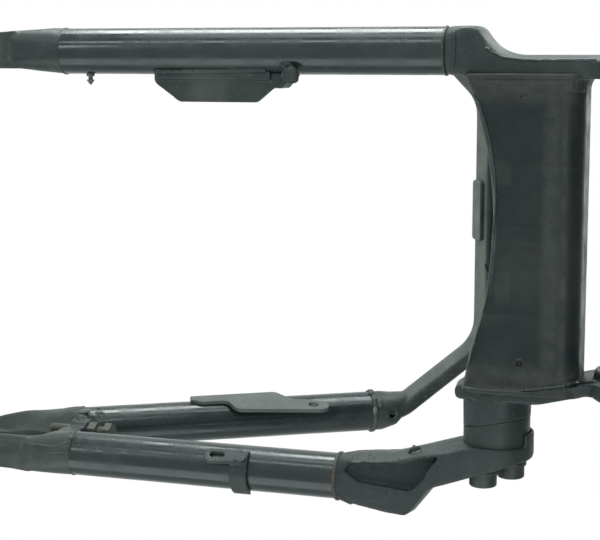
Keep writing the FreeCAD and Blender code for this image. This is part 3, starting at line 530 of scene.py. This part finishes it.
def carrier_shape(leg_y):
    """Scoops the inboard side of a carrier beside its slot and narrows its rear end."""
    side = math.copysign(1, leg_y)

    def moved(point):
        out = side * (point.y - leg_y)
        behind = -point.x
        scoop = smooth_step(point.z, -9, 14) * (1 - smooth_step(point.z, 48, 64))
        scoop *= smooth_step(behind, 424, 442)
        narrow = 0.30 * smooth_step(behind, 466, 515) * smooth_step(point.z, 10, 40)
        if leg_y > 0:
            narrow -= 0.07 * smooth_step(point.z, 46, 60) * smooth_step(behind, 424, 446)
        keep = max(1 - 0.42 * scoop - narrow, 0.5)
        shifted = 16.6 - (16.6 - out) * keep
        shifted -= 3.2 * smooth_step(behind, 404, 462) * smooth_step(out, -12, 16)
        return Vector((point.x, leg_y + side * shifted, point.z))

    return moved


def pad_shape(point):
    """Sinks the bridge's pad, which is forged on and hardly stands out."""
    return point + Vector((1.6, 0, 0))


def guard_shape(point):
    """Draws in the rear corner of the guard plate."""
    return Vector((point.x + 4.5 * (1 - smooth_step(point.x, -328, -290)), point.y, point.z))


def neck_softness(point):
    """How strongly the right forging is rounded: most where it takes over from the tube."""
    return 1 - smooth_step(point.x, -118, -84)


cast("right_axle_carrier", carrier_paint, shape=carrier_shape(RIGHT_Y))
cast("left_axle_carrier", carrier_paint, shape=carrier_shape(LEFT_Y))
cast("right_side_forging", forging_paint, softer=neck_softness)
cast("left_side_forging", forging_paint, voxel=1.0, rounds=2)
cast("left_elbow_forging", elbow_paint, rounds=3)
cast("bridge", bridge_paint)
cast("bridge_pad", bridge_paint, voxel=0.5, rounds=12, shape=pad_shape)
cast("left_slotted_tab", bracket_paint, voxel=0.5, rounds=5)
cast("right_leg_guard_plate", bracket_paint, voxel=0.7, rounds=8, shape=guard_shape)

X_WAY = Vector((1, 0, 0))

# Weld beads round the tubes.
UPPER_REAR = 136
UPPER_FRONT = 370
for side_name, leg_y in (("right", RIGHT_Y), ("left", LEFT_Y)):
    bead(
        f"{side_name}_lower_rear_weld",
        ring(mm(LEG_REAR_X, leg_y, 0), X_WAY, (TUBE_R - 0.5) * MM),
        1.2 * MM,
        True,
        seed=3,
    )
    bead(
        f"{side_name}_upper_rear_weld",
        ring(on_leg(UPPER_REAR, leg_y), LEG_WAY, (TUBE_R - 0.3) * MM),
        1.7 * MM,
        True,
        seed=4,
    )
    bead(
        f"{side_name}_upper_front_weld",
        ring(on_leg(UPPER_FRONT, leg_y), LEG_WAY, (TUBE_R - 0.1) * MM),
        2.1 * MM,
        True,
        seed=5,
    )
bead(
    "right_lower_front_weld",
    ring(mm(RIGHT_FRONT_X, RIGHT_Y, 0), X_WAY, (TUBE_R - 0.5) * MM),
    1.1 * MM,
    True,
    seed=6,
)
bead(
    "left_lower_front_weld",
    ring(mm(LEFT_FRONT_X, LEFT_Y, 0), X_WAY, (TUBE_R - 0.2) * MM),
    1.6 * MM,
    True,
    rusty_weld,
    seed=7,
)

FLARE_STEPS = 7
FLARE_SCALE = 180
FLARE_WAVE = 0.10


def flare(name, outline, end_y, height, length, seed):
    """A hollow fillet of weld that widens the crossmember's end to meet the forging."""
    dice = random.Random(seed)
    shift = dice.uniform(0, 50)
    side = -math.copysign(1, end_y)
    stations = resample([mm(x, end_y, z) for x, z in outline], 0.6 * MM, True)
    count = len(stations)
    points = []
    for number, centre in enumerate(stations):
        way = (stations[(number + 3) % count] - stations[number - 3]).normalized()
        out = way.cross(Vector((0, 1, 0)))
        if out.dot(centre - mm(-77, end_y, 0)) < 0:
            out = -out
        along = Vector((0, side, 0))
        spot = (centre.x * FLARE_SCALE + shift, 0, centre.z * FLARE_SCALE)
        lump = noise.noise(Vector(spot))
        wave = FLARE_WAVE * math.sin(number * 0.6 * math.tau / 3.1)
        share = 0.35 + 0.65 * smooth_step(centre.x / MM, -112, -98)
        for step in range(FLARE_STEPS):
            angle = math.pi / 2 * step / (FLARE_STEPS - 1)
            rise = (height + 0.5 * lump) * share * (1 - math.sin(angle))
            reach = (length + 1.2 * lump) * share * (1 - math.cos(angle))
            bulge = wave * math.sin(2 * angle)
            points.append(centre + out * (rise + bulge) * MM + along * (reach + bulge) * MM)
        points.append(centre - out * 1.0 * MM + along * length * share * MM)
        points.append(centre - out * 1.0 * MM - along * 3.0 * MM)
        points.append(centre + out * height * share * MM - along * 3.0 * MM)
    sides = FLARE_STEPS + 3
    faces = []
    for row in range(count):
        here = row * sides
        there = (row + 1) % count * sides
        for turn in range(sides):
            beside = (turn + 1) % sides
            faces.append((here + turn, there + turn, there + beside, here + beside))
    return add_piece(name, points, faces, box_paint)


# Welds at the crossmember's ends.
BOX_END = [
    (-37.4, -14), (-38.6, -19), (-41.4, -22.2), (-45, -24.1), (-49, -24.8), (-108, -24.8),
    (-110.5, -23.5), (-111.7, -20), (-111.7, 20), (-110.5, 23.5), (-108, 24.8), (-49, 24.8),
    (-45, 24.1), (-41.4, 22.2), (-38.6, 19), (-37.4, 14),
]
flare("right_crossmember_weld", BOX_END, -99.8, 4.0, 9.0, 8)
flare("left_crossmember_weld", BOX_END, 101.3, 3.5, 7.5, 9)


def seen_at(across, down):
    """The place where the camera's ray through a pixel meets the object, and the normal there."""
    way = Vector(LOOK)
    way += Vector(RIGHTWARD) * ((across - MIDDLE_PIXEL[0]) / FOCAL)
    way += Vector(DOWNWARD) * ((down - MIDDLE_PIXEL[1]) / FOCAL)
    graph = bpy.context.evaluated_depsgraph_get()
    hit, place, normal, _, _, _ = bpy.context.scene.ray_cast(graph, mm(*CAMERA_AT), way.normalized())
    return (place, normal) if hit else None


LONGEST_STEP = 4 * MM


def trace(name, pixels, radius, look, seed):
    """A bead that lies on the surfaces that the camera sees along a row of pixels."""
    runs = [[]]
    for start, end in zip(pixels, pixels[1:]):
        steps = max(2, round(math.dist(start, end)))
        for step in range(steps):
            part = step / steps
            found = seen_at(*(start[axis] + (end[axis] - start[axis]) * part for axis in (0, 1)))
            if not found:
                continue
            place = found[0]
            if runs[-1] and (place - runs[-1][-1]).length > LONGEST_STEP:
                runs.append([])
            runs[-1].append(place)
    places = max(runs, key=len)
    softened = [
        (places[max(number - 1, 0)] + place * 2 + places[min(number + 1, len(places) - 1)]) / 4
        for number, place in enumerate(places)
    ]
    return bead(name, softened, radius * MM, look=look, seed=seed)


# Welds, forged edges and lumps that the photograph shows: name, radius, material, path in pixels.
TRACES = [
    ("right_neck_weld", 0.9, weld_paint, [(454, 30), (455, 40), (454.5, 52), (454, 64), (452, 71)]),
    ("right_plate_weld", 2.2, bracket_paint, [(154, 72), (190, 71.5), (230, 71), (268, 70)]),
    (
        "right_ridge",
        1.1,
        tube_paint,
        [(484, 47), (492, 52), (503, 57.5), (522, 60), (547, 60.5), (598, 60)],
    ),
    (
        "left_ridge",
        1.3,
        tube_paint,
        [(462, 388), (490, 390), (516, 391), (535, 389.5), (556, 387), (575, 384), (598, 382)],
    ),
    (
        "crossmember_lip",
        1.0,
        # pale paint on a real rounded bead: partly a painted highlight along the crossmember's rear
        # edge
        flare_paint,
        [
            (468, 88), (480, 104), (489.5, 138), (495, 175), (495.8, 202), (491.5, 260), (486, 302),
            (473, 348), (467, 370),
        ],
    ),
    (
        "elbow_socket_rim",
        0.9,
        hanger_paint,
        [
            (410, 450), (412, 448), (415, 447.3), (418, 448), (420, 450), (418, 452.5), (414, 453.5),
            (411, 452.5), (410, 450),
        ],
    ),
    ("panel_tack", 1.3, weld_paint, [(485, 263), (487, 270), (489, 279)]),
    ("arm_ridge", 0.7, carrier_paint, [(29, 443), (42, 445), (55, 446.5), (63, 444), (68, 441.5)]),
    ("arm_lower_ridge", 0.5, carrier_paint, [(49, 453), (57, 452.7), (66, 452)]),
    ("arm_weld", 1.3, weld_paint, [(70, 436), (70.5, 441), (69.5, 447), (69, 452)]),
    ("tab_weld", 1.0, weld_paint, [(233, 459), (238, 461), (243, 463)]),
]
bpy.context.view_layer.update()
for number, (name, radius, look, pixels) in enumerate(TRACES):
    trace(name, pixels, radius, look, seed=20 + number)


def scatter(name, region, count, sizes, look, seed):
    """Small weld spatter on the surfaces seen in a region of the photograph, as one piece."""
    dice = random.Random(seed)
    points = []
    faces = []
    for _ in range(count):
        found = seen_at(dice.uniform(region[0], region[2]), dice.uniform(region[1], region[3]))
        if not found:
            continue
        place, normal = found
        size = dice.uniform(*sizes) * MM
        side = normal.orthogonal().normalized()
        third = normal.cross(side)
        base = len(points)
        for level, width in ((-0.3, 0.8), (0.2, 1.0), (0.7, 0.7)):
            for turn in range(6):
                angle = math.tau * turn / 6 + level
                out = side * math.cos(angle) + third * math.sin(angle)
                points.append(place + normal * size * level + out * size * width)
        points.append(place + normal * size)
        points.append(place - normal * size * 0.5)
        for row in range(2):
            for turn in range(6):
                beside = (turn + 1) % 6
                low = base + row * 6
                faces.append((low + turn, low + beside, low + 6 + beside, low + 6 + turn))
        for turn in range(6):
            beside = (turn + 1) % 6
            faces.append((base + 12 + turn, base + 12 + beside, base + 18))
            faces.append((base + beside, base + turn, base + 19))
    return add_piece(name, points, faces, look)


scatter("carrier_spatter", (76, 408, 106, 421), 60, (0.3, 0.8), weld_paint, 41)
scatter("elbow_specks", (350, 452, 438, 480), 60, (0.2, 0.5), weld_paint, 42)
scatter("arm_spatter", (62, 436, 78, 456), 20, (0.3, 0.6), weld_paint, 43)


def blob(name, pixel, sizes, look, seed):
    """A rounded lump on the surface seen at a pixel, with its sizes across, down and outward."""
    place, normal = seen_at(*pixel)
    across = Vector(RIGHTWARD)
    across = (across - normal * across.dot(normal)).normalized()
    down = normal.cross(across)
    points = []
    rows, turns = 10, 20
    for row in range(rows + 1):
        tilt = math.pi * row / rows
        for turn in range(turns):
            angle = math.tau * turn / turns
            flat = math.sin(tilt)
            out = Vector((flat * math.cos(angle), flat * math.sin(angle), math.cos(tilt)))
            grown = 1 + 0.3 * noise.noise(out * 1.7 + Vector((seed, seed, seed)))
            shape = across * out.x * sizes[0] + down * out.y * sizes[1] + normal * out.z * sizes[2]
            shape = shape * grown
            points.append(place + shape * MM)
    faces = []
    for row in range(rows):
        for turn in range(turns):
            beside = (turn + 1) % turns
            low = row * turns
            faces.append((low + turn, low + beside, low + turns + beside, low + turns + turn))
    return add_piece(name, points, faces, look)


# Lumps: name, pixel, sizes in millimetres, material, seed.
BLOBS = [
    ("elbow_lump", (415, 451), (4.6, 3.4, 3.6), elbow_paint, 51),
    ("bridge_lump", (371, 392), (2.2, 3.2, 1.8), hanger_paint, 52),
    ("bridge_lower_lump", (380, 404), (3.0, 4.6, 1.4), weld_paint, 56),
    ("bridge_side_lump", (375, 411), (1.8, 3.2, 1.2), hanger_paint, 57),
    ("ear_lump", (290, 75), (6.0, 6.0, 2.5), bracket_paint, 53),
    ("ear_root", (287, 66), (5.5, 3.5, 1.6), bracket_paint, 60),
    ("carrier_lump", (84, 411.5), (5.5, 2.4, 1.3), hanger_paint, 54),
    ("carrier_lower_lump", (82, 417), (4.0, 3.0, 1.2), weld_paint, 55),
    ("carrier_front_lump", (92, 415), (4.0, 2.4, 1.2), hanger_paint, 58),
    ("carrier_end_lump", (99, 412.5), (3.2, 1.8, 1.0), hanger_paint, 59),
]
for blob_row in BLOBS:
    blob(*blob_row)


def plug(name, centre, axis, radius):
    """Dirt caught in a hole, as a shallow uneven dish."""
    axis = axis.normalized()
    points = [centre]
    faces = []
    for level, reach in enumerate((0.35, 0.7, 1.0)):
        around = ring(centre, axis, radius * reach * MM, 20, toward=(1, 0, 0))
        for number, place in enumerate(around):
            dip = 0.35 * reach * MM * (1 + math.sin(number * 2.1 + level))
            points.append(place + axis * dip)
    for turn in range(20):
        beside = (turn + 1) % 20
        faces.append((0, 1 + turn, 1 + beside))
        for row in range(2):
            low = 1 + row * 20
            faces.append((low + turn, low + 20 + turn, low + 20 + beside, low + beside))
    return add_piece(name, points, faces, dirt)


# The crossmember's drain holes: side, place across, height of the dirt in them.
DRAINS = [("right", -88, -23.4), ("left", 83, -22.2)]
DRAIN_X = -74.2
DRAIN_R = 2.7
RIM_R = 2.95
BOX_BOTTOM = -25.0
for side_name, hole_y, dirt_z in DRAINS:
    plug(f"{side_name}_drain_dirt", mm(DRAIN_X, hole_y, dirt_z), Vector((0, 0, -1)), DRAIN_R)
for side_name, hole_y, _ in DRAINS:
    centre = mm(DRAIN_X, hole_y, BOX_BOTTOM)
    rim = ring(centre, Vector((0, 0, 1)), RIM_R * MM, 32, toward=(1, 0, 0))
    bead(f"{side_name}_drain_rim", rim, 0.35 * MM, True, flare_paint, seed=61)
around_vent = [seen_at(*pixel) for pixel in ((388, 411), (398, 411), (393, 406), (393, 416))]
vent_way = sum((found[1] for found in around_vent), Vector()).normalized()
vent_at = sum((found[0] for found in around_vent), Vector()) / 4
plug("vent_dirt", vent_at - vent_way * 2.0 * MM, vent_way, 3.0)


THREAD_R = 4.0
PITCH = 1.25
THREAD_INBOARD = 7.0


def thread(name, leg_y, start_x, end_x):
    """A screw thread as one helical ridge round an adjuster."""
    centre_y = leg_y - math.copysign(THREAD_INBOARD, leg_y)
    turns = (end_x - start_x) / PITCH
    count = round(turns * 24)
    points = []
    for number in range(count + 1):
        angle = math.tau * turns * number / count
        along = start_x + (end_x - start_x) * number / count
        for shift, reach in ((-0.42, -0.25), (0.0, 0.42), (0.42, -0.25)):
            out = THREAD_R + reach
            points.append(
                mm(
                    along + shift * PITCH,
                    centre_y + out * math.cos(angle),
                    ADJUSTER_Z + out * math.sin(angle),
                )
            )
    faces = []
    for number in range(count):
        here = number * 3
        for edge in range(3):
            beside = (edge + 1) % 3
            faces.append((here + edge, here + beside, here + 3 + beside, here + 3 + edge))
    faces.append((2, 1, 0))
    last = count * 3
    faces.append((last, last + 1, last + 2))
    piece = add_piece(name, points, faces, thread_steel)
    for face in piece.data.polygons:
        face.use_smooth = False
    return piece


for side_name, leg_y in (("right", RIGHT_Y), ("left", LEFT_Y)):
    thread(f"{side_name}_adjuster_thread", leg_y, -441.0, -424.5)
    thread(f"{side_name}_adjuster_front_thread", leg_y, -403.0, -397.5)


def lamp(name, at, aim, size, radiance):
    """An area lamp of this radiance, so that its power follows its size."""
    data = bpy.data.lights.new(name, "AREA")
    data.shape = "RECTANGLE"
    data.size = size[0]
    data.size_y = size[1]
    data.energy = radiance * math.pi * size[0] * size[1]
    data.color = TINT
    made = bpy.data.objects.new(name, data)
    made.location = at
    made.visible_camera = False
    made.rotation_mode = "QUATERNION"
    made.rotation_quaternion = (Vector(aim) - Vector(at)).to_track_quat("-Z", "Y")
    bpy.context.scene.collection.objects.link(made)
    return made


MIDDLE = (-0.2, 0.0, 0.05)
TINT = (0.94, 1.0, 0.99)
# Lamps: name, place, aim, size, radiance.
LAMPS = [
    ("high_strip", (-0.33, -1.2, 0.42), MIDDLE, (1.2, 0.5), 12.0),
    ("low_strip", (-0.3, -0.972, -0.773), MIDDLE, (1.3, 0.14), 6.5),
    ("rear_strip", (-0.88, -0.395, -0.82), MIDDLE, (0.4, 0.10), 5.0),
    ("right_fill", (-0.15, -1.42, -0.25), MIDDLE, (1.6, 0.5), 2.5),
    ("left_fill", (-0.35, 1.02, -0.72), MIDDLE, (1.6, 0.8), 1.7),
    ("front_fill", (0.42, 0.2, -1.34), (-0.05, 0.0, -0.02), (0.26, 0.9), 5.0),
    ("rear_fill", (-1.5, 0.1, 0.1), MIDDLE, (0.5, 0.9), 2.2),
    ("top_fill", (0.3, -0.5, 1.5), MIDDLE, (0.9, 0.9), 1.2),
]
for lamp_row in LAMPS:
    lamp(*lamp_row)

# White surroundings. The object gets a plain even light from them.
world = bpy.data.worlds.new("surroundings")
world.use_nodes = True
bpy.context.scene.world = world
tree = world.node_tree
tree.nodes.clear()
world_out = tree.nodes.new("ShaderNodeOutputWorld")
white = tree.nodes.new("ShaderNodeBackground")
white.inputs["Color"].default_value = (1, 1, 1, 1)
white.inputs["Strength"].default_value = 1.0
studio = tree.nodes.new("ShaderNodeBackground")
studio.inputs["Color"].default_value = (*TINT, 1)
ambient = tree.nodes.new("ShaderNodeBackground")
ambient.inputs["Color"].default_value = (*TINT, 1)
ambient.inputs["Strength"].default_value = 0.5
direction = tree.nodes.new("ShaderNodeSeparateXYZ")
join(tree, tree.nodes.new("ShaderNodeTexCoord").outputs["Generated"], direction.inputs[0])
height = ramp(tree, direction.outputs["Z"], 0.25, 0.9, 0.6, 1.0)
ahead = ramp(tree, direction.outputs["X"], 0.25, 0.8, 1.0, 0.35)
join(tree, maths(tree, "MULTIPLY", height, ahead), studio.inputs["Strength"])
rays = tree.nodes.new("ShaderNodeLightPath")
glossy, passing = rays.outputs["Is Glossy Ray"], rays.outputs["Is Transmission Ray"]
mirrored = maths(tree, "MAXIMUM", glossy, passing)
lit = tree.nodes.new("ShaderNodeMixShader")
join(tree, mirrored, lit.inputs[0])
join(tree, ambient.outputs[0], lit.inputs[1])
join(tree, studio.outputs[0], lit.inputs[2])
chosen = tree.nodes.new("ShaderNodeMixShader")
join(tree, rays.outputs["Is Camera Ray"], chosen.inputs[0])
join(tree, lit.outputs[0], chosen.inputs[1])
join(tree, white.outputs[0], chosen.inputs[2])
join(tree, chosen.outputs[0], world_out.inputs[0])

# A pale floor under the resting object. It is clear from below, where the photograph is taken from.
floor_z = cad_box[0].z - 0.0004
floor_mesh = bpy.data.meshes.new("floor")
floor_mesh.from_pydata(
    [(-4, -4, floor_z), (4, -4, floor_z), (4, 4, floor_z), (-4, 4, floor_z)], [], [(0, 1, 2, 3)]
)
floor = bpy.data.objects.new("floor", floor_mesh)
bpy.context.scene.collection.objects.link(floor)
floor_look = bpy.data.materials.new("floor_look")
floor_look.use_nodes = True
tree = floor_look.node_tree
tree.nodes.clear()
floor_out = tree.nodes.new("ShaderNodeOutputMaterial")
clear = tree.nodes.new("ShaderNodeBsdfTransparent")
pale = tree.nodes.new("ShaderNodeBsdfDiffuse")
pale.inputs["Color"].default_value = (0.85, 0.85, 0.84, 1)
rays = tree.nodes.new("ShaderNodeLightPath")
sides = tree.nodes.new("ShaderNodeNewGeometry")
above = maths(tree, "SUBTRACT", 1.0, sides.outputs["Backfacing"])
from_above = maths(tree, "MULTIPLY", rays.outputs["Is Camera Ray"], above)
floor_mix = tree.nodes.new("ShaderNodeMixShader")
join(tree, from_above, floor_mix.inputs[0])
join(tree, clear.outputs[0], floor_mix.inputs[1])
join(tree, pale.outputs[0], floor_mix.inputs[2])
join(tree, floor_mix.outputs[0], floor_out.inputs[0])
floor_mesh.materials.append(floor_look)

bpy.context.scene.view_settings.view_transform = "Standard"
